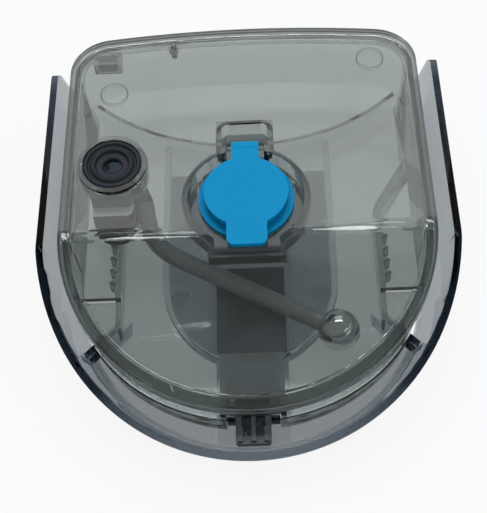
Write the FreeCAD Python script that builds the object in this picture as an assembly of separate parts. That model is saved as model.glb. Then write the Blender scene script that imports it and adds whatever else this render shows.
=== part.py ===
import FreeCAD, Part
import math
import os

# Water tank of a floor cleaner, smoke tinted, lying on its flat underside.
# Millimetres, +Z up, +Y towards the straight rear edge, -Y towards the round front.
# The origin is on the ground, below the middle of the tank's outline.

os.makedirs("parts", exist_ok=True)
V = FreeCAD.Vector

# Rim outline of the cover, seen from above
rim_half_width = 61.3
rim_front_reach = 57.7
crease_y = -8.1
rim_rear_y = 79.5
rear_arc_radius = 420.0
rear_corner_radius = 15.0

# Heights of the cover, which is level behind the crease and slopes down in front
cover_top = 38.2
front_slope = 12.75
bend_radius = 18.0
cover_wall = 2.0
rim_groove_inset = 3.2
rim_groove_width = 0.9
rim_groove_depth = 0.6
locating_rib = 1.2
locating_rib_depth = 2.2

# Tub
tub_flange = 2.0
tub_wall = 2.0
tub_inset_top = 1.2
tub_inset_foot = 3.3
tub_floor = 2.0
fit_gap = 0.15
seat_gap = 0.1
rear_step_centre_y = 126.8
rear_step_radius = 80.2
rear_step_height = 9.0
rail_relief = 0.5

# Docking pocket under the floor, a tongue-shaped island seen from inside
island_half_width = 30.2
island_front_y = -7.0
island_front_reach = 35.0
island_rise = 3.2
strip_half_width = 14.2
strip_front_y = -39.6
strip_front_radius = 28.0
strip_rise = 0.7
strip_wall = 2.0
peg_x = 24.0
peg_y = -14.5
peg_radius = 3.3

# Latch tunnel, slider, spring and cover plate
tunnel_half_width = 10.25
tunnel_wall = 1.6
tunnel_top = 16.3
tunnel_length = 24.0
bridge_length = 4.0
latch_travel = 3.0
latch_gap = 0.3
latch_plate = 2.0
latch_tip_gap = 1.9
latch_prong_half_width = 5.6
latch_body_gap = 0.4
latch_slot_width = 3.0
latch_slot_length = 7.4
latch_slot_depth = 1.5
latch_rib = 1.5
latch_rib_rise = 0.8
latch_rib_setback = 0.6
latch_rib_length = 4.8
arm_neck_half_width = 7.4
arm_half_width = 11.7
arm_wall = 0.9
arm_shoulder_y = -38.4
arm_rear_y = -3.0
latch_wall = 1.5
latch_cover_plate = 1.8
latch_post = 2.0
spring_wire = 0.5
spring_radius = 1.9
spring_turns = 6

# Finger channels under both sides of the tub
channel_depth = 15.8
channel_rear_y = 13.0
channel_rear_angle = 58.0
channel_step_y = -18.0
channel_rise = 10.0
channel_front_rise = 7.0
channel_corner = 6.0
grip_rib_count = 4
grip_rib_pitch = 5.0
grip_rib_first_y = -11.0
grip_rib_depth = 2.4
grip_rib_width = 2.6
grip_rib_height = 6.0

# Outer shell: flared wings, a chin in front with a level deck, and a foot plate
shell_wall = 2.4
shell_edge_top = 30.4
wing_spread = 8.7
shell_foot_inset = 0.5
shell_front_shift = 2.0
chin_foot_length = 5.7
chin_edge_length = 23.7
wing_rear_y = 69.9
wing_corner = 3.5
deck_top = 12.0
deck_wall = 2.0
deck_gap = 0.4
deck_mouth_inset = 4.8
chin_wall_height = 7.0
chin_end_outer_inset = 1.3
chin_end_outer_y = -42.5
chin_end_inner_gap = 1.0
chin_end_inner_y = -26.2
foot_wall = 2.0
foot_neck_half_width = 12.0
foot_rear_y = 40.0

# Filler pocket in the cover and its plug
pocket_y = 5.2
pocket_radius = 19.3
pocket_depth = 6.2
pocket_wall = 2.0
strap_slot_half_width = 7.8
strap_slot_rear_y = 35.6
neck_half_width = 6.4
neck_rear_y = 28.6
tab_slot_half_width = 10.6
tab_slot_front_y = -14.6
filler_y = 7.5
filler_radius = 13.0
hinge_y = 26.4
hinge_drop = 2.7
hinge_bar_radius = 1.2
hinge_clearance = 0.25
strap_eye_wall = 1.1
strap_half_width = 4.6
strap_top_drop = 0.5
strap_wall = 1.7
plug_disc_radius = 14.0
plug_disc_drop = 0.5
plug_disc_wall = 2.0
plug_neck_radius = 11.6
plug_flange_radius = 16.0
plug_flange_wall = 1.4
plug_stem_clearance = 0.4
plug_stem_taper = 0.7
plug_stem_length = 5.2
plug_stem_wall = 2.2
tab_half_width = 6.6
tab_front_y = -13.6
tab_wall = 1.8

# Outlet: rubber seal, fitting, clip and ring under the cover
port_inset = 16.6
port_y = 19.8
seal_radius = 9.8
seal_bore = 3.1
seal_rise = 0.9
port_collar_wall = 1.7
port_collar_rise = 0.7
port_skirt_depth = 6.0
seal_wall = 3.0
seal_lip = 1.4
seal_edge = 0.5
seal_land = 1.2
seal_groove = 1.0
seal_groove_depth = 0.9
bead_radius = 6.4
bead_half_width = 0.7
bead_rise = 0.2
dish_depth = 1.2
fitting_clearance = 0.3
fitting_wall = 1.8
cup_lean_x = 0.5
cup_lean_y = 10.0
cup_radius = 7.2
cup_top_radius = 9.2
cup_gap = 0.6
duct_radius = 3.0
barb_clearance = 0.1
barb_length = 5.0
barb_bore = 1.2
ring_section = 0.8
ring_seat_depth = 1.4
clip_half_width = 6.8
clip_step = 2.6
clip_upper_height = 6.0
clip_lower_height = 7.0
clip_lower_depth = 3.4

# Pick-up hose, a weighted hose that lies on the floor of the tank
hose_radius = 3.15
hose_bore = 2.25
hose_clearance = 0.15
hose_seat = 3.5
hose_drop = [
    (9.5, -6.2, 24.6),
    (10.1, -10.2, 18.9),
    (11.3, -13.9, 14.3),
    (14.9, -18.0, 12.0),
    (22.3, -22.9, 11.35),
]
hose_end = (25.7, -30.0, 11.3)
ball_radius = 7.0
ball_bore = 1.6

# Corner pocket with a magnet, and the vent hole
magnet_inset_x = 12.7
magnet_inset_y = 10.5
magnet_half_width = 3.7
magnet_half_depth = 1.7
magnet_height = 5.0
magnet_pocket_wall = 1.2
vent_x = -24.9
vent_inset_y = 6.3
vent_radius = 0.6
vent_boss_radius = 1.9
vent_boss_height = 2.4
vent_seat_radius = 1.25
vent_seat_depth = 1.5
vent_lip_length = 2.6
vent_lip_radius = 0.5

# Worked out from the sizes above
slope = math.tan(math.radians(front_slope))
cover_under = cover_top - cover_wall
tub_top = cover_under - seat_gap
tub_underside = foot_wall + seat_gap
floor_top = tub_underside + tub_floor
tank_front_y = crease_y - rim_front_reach
tunnel_rear_y = tank_front_y + tunnel_length
deck_mouth_y = tank_front_y + deck_mouth_inset
latch_body_front_y = deck_mouth_y + latch_body_gap
channel_inner_x = rim_half_width - channel_depth
shell_edge_half_width = rim_half_width + wing_spread
shell_foot_half_width = rim_half_width - shell_foot_inset
shell_front_y = crease_y + shell_front_shift
shell_foot_reach = rim_front_reach + chin_foot_length
shell_edge_reach = rim_front_reach + chin_edge_length
shell_flare = (shell_edge_reach - shell_foot_reach) / shell_edge_top
latch_tip_y = (shell_front_y - shell_foot_reach - shell_flare * deck_top + shell_wall
               + latch_tip_gap)
latch_rib_rear_y = latch_tip_y + latch_rib_setback + latch_rib_length
chin_end_outer_x = rim_half_width - chin_end_outer_inset
chin_end_inner_x = channel_inner_x - chin_end_inner_gap
port_x = port_inset - rim_half_width
cup_x = port_x - cup_lean_x
cup_y = port_y - cup_lean_y
hose_route = [(port_x + x, port_y + y, z) for x, y, z in hose_drop] + [hose_end]
magnet_x = magnet_inset_x - rim_half_width
magnet_y = rim_rear_y - magnet_inset_y
vent_y = rim_rear_y - vent_inset_y
island_top = floor_top + island_rise
rear_step_top = floor_top + rear_step_height
pocket_floor = cover_top - pocket_depth
hinge_z = cover_top - hinge_drop
eye_radius = hinge_bar_radius + hinge_clearance + strap_eye_wall
latch_top = tunnel_top - tunnel_wall - latch_gap
tunnel_inner = tunnel_half_width - tunnel_wall
chin_end_angle = math.atan2(chin_end_inner_y - chin_end_outer_y, chin_end_outer_x - chin_end_inner_x)
BIG = 300.0


def box(x0, x1, y0, y1, z0, z1):
    return Part.makeBox(x1 - x0, y1 - y0, z1 - z0, V(x0, y0, z0))


def disc(x, y, z0, z1, radius):
    return Part.makeCylinder(radius, z1 - z0, V(x, y, z0))


def both_sides(shape):
    return [shape, shape.mirror(V(0, 0, 0), V(1, 0, 0))]


def front_arc(half_width, reach, y, z):
    """Half an ellipse from the left side round the front to the right side."""
    circle = Part.Arc(V(-1, 0, 0), V(0, -1, 0), V(1, 0, 0)).toShape()
    stretch = FreeCAD.Matrix()
    stretch.scale(half_width, reach, 1)
    arc = circle.transformGeometry(stretch)
    arc.translate(V(0, y, z))
    return arc


def tank_outline(inset, z):
    """The tank's outline from above: straight sides, elliptical front, bowed rear."""
    half = rim_half_width - inset
    corner = rear_corner_radius - inset
    bow = rear_arc_radius - inset
    bow_y = rim_rear_y - rear_arc_radius
    corner_x = half - corner
    corner_y = bow_y + math.sqrt((bow - corner) ** 2 - corner_x ** 2)
    angle = math.atan2(corner_y - bow_y, corner_x)
    end = V(bow * math.cos(angle), bow_y + bow * math.sin(angle), z)
    mid = V(corner_x + corner * math.cos(angle / 2), corner_y + corner * math.sin(angle / 2), z)
    side = V(half, corner_y, z)
    front = V(half, crease_y, z)
    flip = FreeCAD.Matrix()
    flip.scale(-1, 1, 1)
    left_end = flip.multVec(end)
    edges = [
        Part.LineSegment(front, side).toShape(),
        Part.Arc(side, mid, end).toShape(),
        Part.Arc(end, V(0, bow_y + bow, z), left_end).toShape(),
        Part.Arc(left_end, flip.multVec(mid), flip.multVec(side)).toShape(),
        Part.LineSegment(flip.multVec(side), flip.multVec(front)).toShape(),
        front_arc(half, rim_front_reach - inset, crease_y, z),
    ]
    return Part.Wire(edges)


def prism(inset, z0, z1):
    return Part.Face(tank_outline(inset, z0)).extrude(V(0, 0, z1 - z0))


def below_crease(height):
    """All the space under a creased surface that is level at the given height behind."""
    half = math.radians(front_slope) / 2
    run = bend_radius * math.tan(half)
    rear = V(-BIG, crease_y + run, height)
    front = V(-BIG, crease_y - run * math.cos(2 * half), height - run * math.sin(2 * half))
    middle = V(-BIG, rear.y - bend_radius * math.sin(half),
               height - bend_radius * (1 - math.cos(half)))
    far = V(-BIG, -BIG, height - (crease_y + BIG) * slope)
    corners = [V(-BIG, BIG, -BIG), V(-BIG, BIG, height)]
    edges = [
        Part.LineSegment(corners[0], corners[1]).toShape(),
        Part.LineSegment(corners[1], rear).toShape(),
        Part.Arc(rear, middle, front).toShape(),
        Part.LineSegment(front, far).toShape(),
        Part.LineSegment(far, V(-BIG, -BIG, -BIG)).toShape(),
        Part.LineSegment(V(-BIG, -BIG, -BIG), corners[0]).toShape(),
    ]
    return Part.Face(Part.Wire(edges)).extrude(V(2 * BIG, 0, 0))


def slab(inset, height, thickness):
    """A creased sheet with the tank's outline."""
    sheet = prism(inset, -10, height + 10).common(below_crease(height))
    return sheet.cut(below_crease(height - thickness))


def island_wire(shrink, z):
    half = island_half_width - shrink
    rear = rim_rear_y
    edges = [
        Part.LineSegment(V(half, island_front_y, z), V(half, rear, z)).toShape(),
        Part.LineSegment(V(half, rear, z), V(-half, rear, z)).toShape(),
        Part.LineSegment(V(-half, rear, z), V(-half, island_front_y, z)).toShape(),
        front_arc(half, island_front_reach - shrink, island_front_y, z),
    ]
    return Part.Wire(edges)


def island(shrink, z0, z1):
    return Part.Face(island_wire(shrink, z0)).extrude(V(0, 0, z1 - z0))


def strip(shrink, z0, z1):
    """The raised strip along the middle of the island, with its bowed front end."""
    half = strip_half_width - shrink
    block = box(-half, half, tank_front_y, rim_rear_y, z0, z1)
    bow = disc(0, strip_front_y + strip_front_radius, z0, z1, strip_front_radius - shrink)
    rear = box(-half, half, strip_front_y + strip_front_radius, rim_rear_y, z0, z1)
    return block.common(bow).fuse(rear)


def rear_step(grow, z0, z1):
    return disc(0, rear_step_centre_y, z0, z1, rear_step_radius + grow)


def finger_channel(grow, z0):
    """The space under one side of the tub that fingers reach into."""
    top = tub_underside + channel_rise + grow
    low_top = tub_underside + channel_front_rise + grow
    inner = channel_inner_x - grow
    outer = rim_half_width + 5
    rear = channel_rear_y + grow
    rear_outer = rear + (outer - inner) * math.tan(math.radians(channel_rear_angle))
    deep_plan = [V(inner, channel_step_y, z0), V(outer, channel_step_y, z0),
                 V(outer, rear_outer, z0), V(inner, rear, z0)]
    deep = Part.Face(Part.makePolygon(deep_plan + deep_plan[:1])).extrude(V(0, 0, top - z0))
    rear_edges = [e for e in deep.Edges if vertical_at(e, inner, rear)]
    deep = deep.makeFillet(channel_corner + grow, rear_edges)
    shift = grow / math.cos(chin_end_angle)
    inner_y = chin_end_inner_y - shift + (inner - chin_end_inner_x) * -math.tan(chin_end_angle)
    outer_y = chin_end_inner_y - shift + (outer - chin_end_inner_x) * -math.tan(chin_end_angle)
    plan = [V(inner, inner_y, z0), V(outer, outer_y, z0),
            V(outer, channel_step_y + 1, z0), V(inner, channel_step_y + 1, z0)]
    shallow = Part.Face(Part.makePolygon(plan + plan[:1])).extrude(V(0, 0, low_top - z0))
    return deep.fuse(shallow)


def vertical_at(edge, x, y):
    ends = [v.Point for v in edge.Vertexes]
    if len(ends) < 2 or abs(ends[0].z - ends[1].z) < 1e-6:
        return False
    return all(abs(p.x - x) < 1e-6 and abs(p.y - y) < 1e-6 for p in ends)


def grip_ribs():
    """Wedge ribs on the inner wall of one finger channel."""
    ribs = []
    top = tub_underside + channel_rise
    for i in range(grip_rib_count):
        y = grip_rib_first_y + i * grip_rib_pitch
        plan = [V(channel_inner_x, y - grip_rib_width / 2, top),
                V(channel_inner_x + grip_rib_depth, y, top),
                V(channel_inner_x, y + grip_rib_width / 2, top)]
        ribs.append(Part.Face(Part.makePolygon(plan + plan[:1])).extrude(V(0, 0, -grip_rib_height)))
    return ribs


def tunnel(shrink, z0):
    half = tunnel_half_width - shrink
    return box(-half, half, crease_y - rim_front_reach, tunnel_rear_y - shrink, z0, tunnel_top - shrink)


def make_tub():
    foot = tank_outline(tub_inset_foot, tub_underside)
    top = tank_outline(tub_inset_top, tub_top)
    body = Part.makeLoft([foot, top], True, True).common(below_crease(tub_top))
    lip = slab(0, tub_top, tub_flange)
    cavity = Part.makeLoft([tank_outline(tub_inset_foot + tub_wall, floor_top),
                            tank_outline(tub_inset_top + tub_wall, tub_top + 1)], True, True)
    bridge = box(-tunnel_half_width, tunnel_half_width, tunnel_rear_y, tunnel_rear_y + bridge_length,
                 0, island_top)
    raised = [rear_step(tub_wall, 0, rear_step_top), island(0, 0, island_top),
              strip(0, 0, island_top + strip_rise), tunnel(0, 0), bridge]
    raised += both_sides(finger_channel(tub_wall, 0))
    for shape in raised:
        cavity = cavity.cut(shape)
    tub = body.fuse(lip).cut(cavity)
    hollows = [rear_step(0, 0, rear_step_top - tub_floor),
               island(tub_wall, 0, island_top - tub_floor),
               strip(strip_wall, 0, island_top + strip_rise - tub_floor),
               tunnel(tunnel_wall, 0),
               box(-tunnel_inner, tunnel_inner, tunnel_rear_y - tunnel_wall - 1,
                   tunnel_rear_y + bridge_length, 0, island_top + strip_rise - tub_floor)]
    rail = island(tub_wall, 0, rear_step_top - tub_floor + rail_relief)
    hollows += both_sides(finger_channel(0, 0)) + [rail.common(rear_step(0, 0, rear_step_top))]
    for shape in hollows:
        tub = tub.cut(shape)
    for rib in grip_ribs():
        for shape in both_sides(rib):
            tub = tub.fuse(shape)
    return tub.removeSplitter()


def shell_wire(half_width, reach, inset, z):
    half = half_width - inset
    rear = wing_rear_y + rim_half_width
    edges = [
        Part.LineSegment(V(half, shell_front_y, z), V(half, rear, z)).toShape(),
        Part.LineSegment(V(half, rear, z), V(-half, rear, z)).toShape(),
        Part.LineSegment(V(-half, rear, z), V(-half, shell_front_y, z)).toShape(),
        front_arc(half, reach - inset, shell_front_y, z),
    ]
    return Part.Wire(edges)


def shell_bowl(inset):
    foot = shell_wire(shell_foot_half_width, shell_foot_reach, inset, 0)
    edge = shell_wire(shell_edge_half_width, shell_edge_reach, inset, shell_edge_top)
    return Part.makeLoft([foot, edge], True, True)


def chin_region(grow):
    """Space in front of the two slanting end walls of the chin."""
    dy = grow / math.cos(chin_end_angle)
    tan = math.tan(chin_end_angle)
    half = shell_edge_half_width + 5
    y_side = chin_end_inner_y + dy - (half - chin_end_inner_x) * tan
    y_mid = chin_end_inner_y + dy
    plan = [V(-half, -BIG, 0), V(half, -BIG, 0), V(half, y_side, 0), V(chin_end_inner_x, y_mid, 0),
            V(-chin_end_inner_x, y_mid, 0), V(-half, y_side, 0)]
    return Part.Face(Part.makePolygon(plan + plan[:1])).extrude(V(0, 0, shell_edge_top))


def tub_space(gap, z0, z1):
    """The tub's outer form with a gap round it."""
    height = cover_under - tub_underside
    change = tub_inset_foot - tub_inset_top
    low = tub_inset_foot - gap + change * (tub_underside - z0) / height
    high = tub_inset_foot - gap + change * (tub_underside - z1) / height
    return Part.makeLoft([tank_outline(low, z0), tank_outline(high, z1)], True, True)


def make_shell():
    inner = shell_bowl(shell_wall)
    wall = shell_bowl(0).cut(inner)
    deck = inner.common(box(-BIG, BIG, -BIG, BIG, deck_top - deck_wall, deck_top))
    deck = deck.common(chin_region(0))
    end_wall = inner.common(box(-BIG, BIG, -BIG, BIG, deck_top - chin_wall_height, deck_top))
    end_wall = end_wall.common(chin_region(0)).cut(chin_region(-deck_wall))
    chin = deck.fuse(end_wall).cut(tub_space(deck_gap, deck_top - chin_wall_height - 1, deck_top + 1))
    mouth = tunnel_inner - fit_gap
    chin = chin.fuse(box(-mouth, mouth, -shell_foot_reach + shell_front_y, deck_mouth_y,
                         deck_top - deck_wall, deck_top))
    foot = island(tub_wall + fit_gap, 0, foot_wall).common(box(-BIG, BIG, -BIG, foot_rear_y, 0, BIG))
    neck = box(-foot_neck_half_width, foot_neck_half_width, -BIG, island_front_y, 0, foot_wall)
    shell = wall.fuse([chin, foot, inner.common(neck)])
    shell = shell.common(below_crease(shell_edge_top)).common(box(-BIG, BIG, -BIG, wing_rear_y, 0, BIG))
    for shape in both_sides(wing_corner_cut()):
        shell = shell.cut(shape)
    peg = disc(peg_x, peg_y, foot_wall / 2, island_top - tub_floor - seat_gap, peg_radius)
    shell = shell.fuse(both_sides(peg))
    shell = shell.cut(latch_cover_space())
    return shell.removeSplitter()


def wing_corner_cut():
    """Rounds the upper rear corner of a wing, seen from the side."""
    r = wing_corner
    y0 = wing_rear_y - r
    z0 = shell_edge_top - r
    block = box(0, BIG, y0, wing_rear_y + 1, z0, shell_edge_top + 1)
    round_bar = Part.makeCylinder(r, BIG, V(0, y0, z0), V(1, 0, 0))
    return block.cut(round_bar)


def pocket_plan(grow, z0, z1):
    """The keyhole shape of the filler pocket, with its strap slot and tab slot."""
    shapes = [
        disc(0, pocket_y, z0, z1, pocket_radius + grow),
        box(-strap_slot_half_width - grow, strap_slot_half_width + grow,
            neck_rear_y - grow, strap_slot_rear_y + grow, z0, z1),
        box(-neck_half_width - grow, neck_half_width + grow, pocket_y, neck_rear_y + 1, z0, z1),
        box(-tab_slot_half_width - grow, tab_slot_half_width + grow,
            tab_slot_front_y - grow, pocket_y, z0, z1),
    ]
    whole = shapes[0].fuse(shapes[1:]).removeSplitter()
    corners = [e for e in whole.Edges if slot_corner(e, grow)]
    return whole.makeFillet(2.4 if grow == 0 else 2.4 + grow, corners)


def slot_corner(edge, grow):
    rear = strap_slot_rear_y + grow
    half = strap_slot_half_width + grow
    return vertical_at(edge, half, rear) or vertical_at(edge, -half, rear)


def groove():
    """A shallow line round the top of the cover, inside the rim."""
    ring = prism(rim_groove_inset, 0, BIG).cut(prism(rim_groove_inset + rim_groove_width, 0, BIG))
    return ring.cut(below_crease(cover_top - rim_groove_depth))


def magnet_pocket(grow, z0, z1):
    return box(magnet_x - magnet_half_width - grow, magnet_x + magnet_half_width + grow,
               magnet_y - magnet_half_depth - grow, magnet_y + magnet_half_depth + grow, z0, z1)


def make_cover():
    plate = slab(0, cover_top, cover_wall).cut(groove())
    inside = tub_space(-tub_wall - fit_gap, tub_underside, cover_top)
    low = inside.cut(tub_space(-tub_wall - fit_gap - locating_rib, tub_underside, cover_top))
    rib = low.common(below_crease(cover_under)).cut(below_crease(cover_under - locating_rib_depth))
    cup = pocket_plan(pocket_wall, pocket_floor - pocket_wall, cover_under + 0.1)
    skirt = disc(port_x, port_y, cover_under - port_skirt_depth, cover_top + port_collar_rise,
                 seal_radius + fitting_clearance + port_collar_wall)
    pocket_box = magnet_pocket(magnet_pocket_wall, cover_under - magnet_height, cover_under)
    pocket_box = pocket_box.common(inside)
    vent = disc(vent_x, vent_y, cover_under - vent_boss_height, cover_under, vent_boss_radius)
    vent_seat = disc(vent_x, vent_y, 0, cover_under - vent_boss_height + vent_seat_depth,
                     vent_seat_radius)
    cover = plate.fuse([rib, cup, skirt, pocket_box, vent])
    cuts = [
        pocket_plan(0, pocket_floor, cover_top + 5),
        disc(0, filler_y, 0, cover_top, filler_radius),
        disc(port_x, port_y, 0, BIG, seal_radius + fitting_clearance),
        magnet_pocket(0, 0, cover_under - 0.01),
        disc(vent_x, vent_y, 0, BIG, vent_radius),
        vent_seat,
    ]
    for shape in cuts:
        cover = cover.cut(shape)
    bar_reach = neck_half_width + pocket_wall / 2
    bar = Part.makeCylinder(hinge_bar_radius, 2 * bar_reach, V(-bar_reach, hinge_y, hinge_z), V(1, 0, 0))
    return cover.fuse(bar).removeSplitter()


def make_plug():
    """The silicone plug with its disc, sealing flange, hollow stem, pull tab and strap."""
    y = filler_y
    top = cover_top - plug_disc_drop
    flange_low = pocket_floor + fit_gap
    flange_high = flange_low + plug_flange_wall
    stem = filler_radius - plug_stem_clearance
    low = flange_low - plug_stem_length
    profile = [V(0, 0, top), V(plug_disc_radius, 0, top),
               V(plug_disc_radius, 0, top - plug_disc_wall), V(plug_neck_radius, 0, top - plug_disc_wall),
               V(plug_neck_radius, 0, flange_high), V(plug_flange_radius, 0, flange_high),
               V(plug_flange_radius, 0, flange_low), V(stem, 0, flange_low),
               V(stem - plug_stem_taper, 0, low), V(stem - plug_stem_wall, 0, low),
               V(stem - plug_stem_wall, 0, flange_high), V(0, 0, flange_high)]
    body = Part.Face(Part.makePolygon(profile + profile[:1])).revolve(V(0, 0, 0), V(0, 0, 1), 360)
    body.translate(V(0, y, 0))
    tab = box(-tab_half_width, tab_half_width, tab_front_y, y, top - tab_wall, top)
    tab = tab.makeFillet(2.6, [e for e in tab.Edges if tab_corner(e)])
    strap_top = cover_top - strap_top_drop
    strap = box(-strap_half_width, strap_half_width, y, hinge_y, strap_top - strap_wall, strap_top)
    eye = Part.makeCylinder(eye_radius, 2 * strap_half_width, V(-strap_half_width, hinge_y, hinge_z),
                            V(1, 0, 0))
    plug = body.fuse([tab, strap, eye]).removeSplitter()
    hole = Part.makeCylinder(hinge_bar_radius + hinge_clearance, 2 * strap_half_width + 2,
                             V(-strap_half_width - 1, hinge_y, hinge_z), V(1, 0, 0))
    return plug.cut(hole)


def tab_corner(edge):
    return (vertical_at(edge, tab_half_width, tab_front_y)
            or vertical_at(edge, -tab_half_width, tab_front_y))


def turned(profile, x, y):
    shape = Part.Face(Part.makePolygon(profile + profile[:1])).revolve(V(0, 0, 0), V(0, 0, 1), 360)
    shape.translate(V(x, y, 0))
    return shape


def make_seal():
    """The rubber seal: a dished ring with two raised beads round the bore."""
    top = cover_top + seal_rise
    low = top - seal_wall
    land = seal_radius - seal_land
    bead_side = top - bead_rise / 2
    profile = [V(seal_bore, 0, low), V(seal_radius, 0, low), V(seal_radius, 0, top - seal_edge),
               V(seal_radius - seal_edge, 0, top), V(land, 0, top),
               V(land - seal_groove / 2, 0, top - seal_groove_depth),
               V(land - seal_groove, 0, top - seal_groove_depth),
               V(bead_radius + bead_half_width, 0, bead_side), V(bead_radius, 0, top + bead_rise),
               V(bead_radius - bead_half_width, 0, bead_side),
               V(bead_radius - 1.5 * bead_half_width, 0, top - dish_depth),
               V(seal_bore + seal_edge, 0, top - dish_depth), V(seal_bore, 0, low + seal_lip)]
    return turned(profile, port_x, port_y)


def ring_wire(radius, centre, normal):
    return Part.Wire(Part.Circle(centre, normal, radius).toShape())


def hose_start():
    start, second = V(*hose_route[0]), V(*hose_route[1])
    return start, (second - start).normalize()


def hose_room():
    """The space that the first two runs of the hose need beside the cup."""
    points = [V(*p) for p in hose_route[:3]]
    radius = hose_radius + fitting_clearance
    return [Part.makeCylinder(radius, (end - start).Length + 1, start, end - start)
            for start, end in zip(points, points[1:])]


def fitting_seat():
    return cover_top + seal_rise - seal_wall


def fitting_shoulder():
    return cover_under - port_skirt_depth - fitting_clearance


def leaning_cup(grow):
    """The round cup below the outlet, which leans forward down to the finger channel."""
    up = V(0, 0, 1)
    cup_z = floor_top + channel_rise + cup_gap
    shoulder = fitting_shoulder()
    return Part.makeLoft([ring_wire(cup_top_radius + grow, V(port_x, port_y, shoulder), up),
                          ring_wire(cup_radius + grow, V(cup_x, cup_y, cup_z), up)], True, True)


def make_fitting():
    """The outlet body: a collar under the seal, a leaning cup and a duct with the hose barb."""
    up = V(0, 0, 1)
    seat = fitting_seat()
    shoulder = fitting_shoulder()
    collar = disc(port_x, port_y, shoulder, seat, seal_radius)
    cup = leaning_cup(0)
    start, along = hose_start()
    duct = Part.makeLoft([ring_wire(seal_radius - 1.0, V(port_x, port_y, shoulder), up),
                          ring_wire(duct_radius, start - along * 0.2, along)], True, True)
    barb = Part.makeCylinder(hose_bore - barb_clearance, barb_length + 0.2, start - along * 0.2, along)
    body = collar.fuse([cup, duct]).removeSplitter()
    for shape in hose_room():
        body = body.cut(shape)
    body = body.fuse(barb)
    well_radius = seal_bore + fitting_wall
    well = disc(port_x, port_y, shoulder, seat + 1, well_radius)
    well_foot = V(port_x + well_radius / 2, port_y, shoulder + barb_bore)
    neck = Part.makeCylinder(barb_bore, (start - well_foot).Length, well_foot, start - well_foot)
    outlet = Part.makeCylinder(barb_bore, barb_length + 1, start, along)
    elbow = Part.makeSphere(barb_bore, start)
    ring_low = shoulder + port_skirt_depth / 4
    ring_room = disc(port_x, port_y, ring_low, ring_low + 2 * ring_section + fit_gap, seal_radius + 1)
    ring_room = ring_room.cut(disc(port_x, port_y, 0, BIG, ring_seat_radius()))
    for shape in (well, neck, outlet, elbow, ring_room):
        body = body.cut(shape)
    return body


def ring_seat_radius():
    return seal_radius - ring_seat_depth


def make_ring():
    z = fitting_shoulder() + port_skirt_depth / 4 + ring_section + fit_gap / 2
    radius = ring_seat_radius() + ring_section + fit_gap / 2
    return Part.makeTorus(radius, ring_section, V(port_x, port_y, z))


def make_clip():
    """The stepped clip in front of the outlet, with one round end."""
    skirt = seal_radius + fitting_clearance + port_collar_wall + fit_gap
    y_back = port_y - skirt + 2.2
    z_top = cover_under - fit_gap
    z_mid = z_top - clip_upper_height
    z_low = z_mid - clip_lower_height

    def tab(depth, z0, z1):
        y0 = y_back - depth
        block = box(port_x - clip_half_width, port_x + clip_half_width, y0, y_back, z0, z1)
        corner = [e for e in block.Edges if vertical_at(e, port_x + clip_half_width, y0)]
        return block.makeFillet(min(depth, 3.2) * 0.95, corner)

    clip = tab(clip_step, z_mid, z_top).fuse(tab(clip_step + clip_lower_depth, z_low, z_mid))
    clip = clip.cut(disc(port_x, port_y, 0, BIG, skirt)).cut(leaning_cup(fit_gap))
    return clip.removeSplitter()


def hose_path():
    """Straight runs joined by tangent arcs, each as large as its runs allow."""
    points = [V(*p) for p in hose_route]
    edges = []
    here = points[0]
    for before, corner, after in zip(points, points[1:], points[2:]):
        into = corner - before
        out = after - corner
        turn = into.getAngle(out)
        reach = 0.45 * min(into.Length, out.Length)
        radius = reach / math.tan(turn / 2)
        print("hose bend radius", round(radius, 1), "turn", round(math.degrees(turn), 1))
        into.normalize()
        out.normalize()
        first = corner - into * reach
        last = corner + out * reach
        inward = (out - into).normalize()
        middle = corner + inward * (radius / math.cos(turn / 2) - radius)
        edges.append(Part.LineSegment(here, first).toShape())
        edges.append(Part.Arc(first, middle, last).toShape())
        here = last
    edges.append(Part.LineSegment(here, points[-1]).toShape())
    return Part.Wire(edges)


def make_hose():
    path = hose_path()
    start, along = hose_start()
    outside, inside = [path.makePipeShell([ring_wire(radius, start, along)], True, False)
                       for radius in (hose_radius, hose_bore)]
    hose = outside.cut(inside)
    expected = math.pi * (hose_radius ** 2 - hose_bore ** 2) * path.Length
    print("hose length", round(path.Length, 1), "volume ratio", round(hose.Volume / expected, 4))
    return hose


def ball_centre():
    last, before = V(*hose_route[-1]), V(*hose_route[-2])
    along = (last - before).normalize()
    return last + along * (ball_radius - hose_seat + 0.2), along


def make_ball():
    centre, along = ball_centre()
    ball = Part.makeSphere(ball_radius, centre)
    socket = Part.makeCylinder(hose_radius + hose_clearance, 2 * ball_radius,
                               V(*hose_route[-1]), along * -1)
    bore = Part.makeCylinder(ball_bore, 3 * ball_radius, centre, along)
    back = Part.makeCylinder(ball_bore, 3 * ball_radius, centre, along * -1)
    return ball.cut(socket).cut(bore).cut(back)


def latch_rear_y():
    """Rear face of the slider's tray at rest, with room to travel behind it."""
    return tunnel_rear_y - tunnel_wall - latch_travel - latch_gap


def latch_body_box(shrink, z0, z1):
    half = tunnel_inner - latch_gap - shrink
    return box(-half, half, latch_body_front_y + shrink, latch_rear_y() - shrink, z0, z1)


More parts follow.
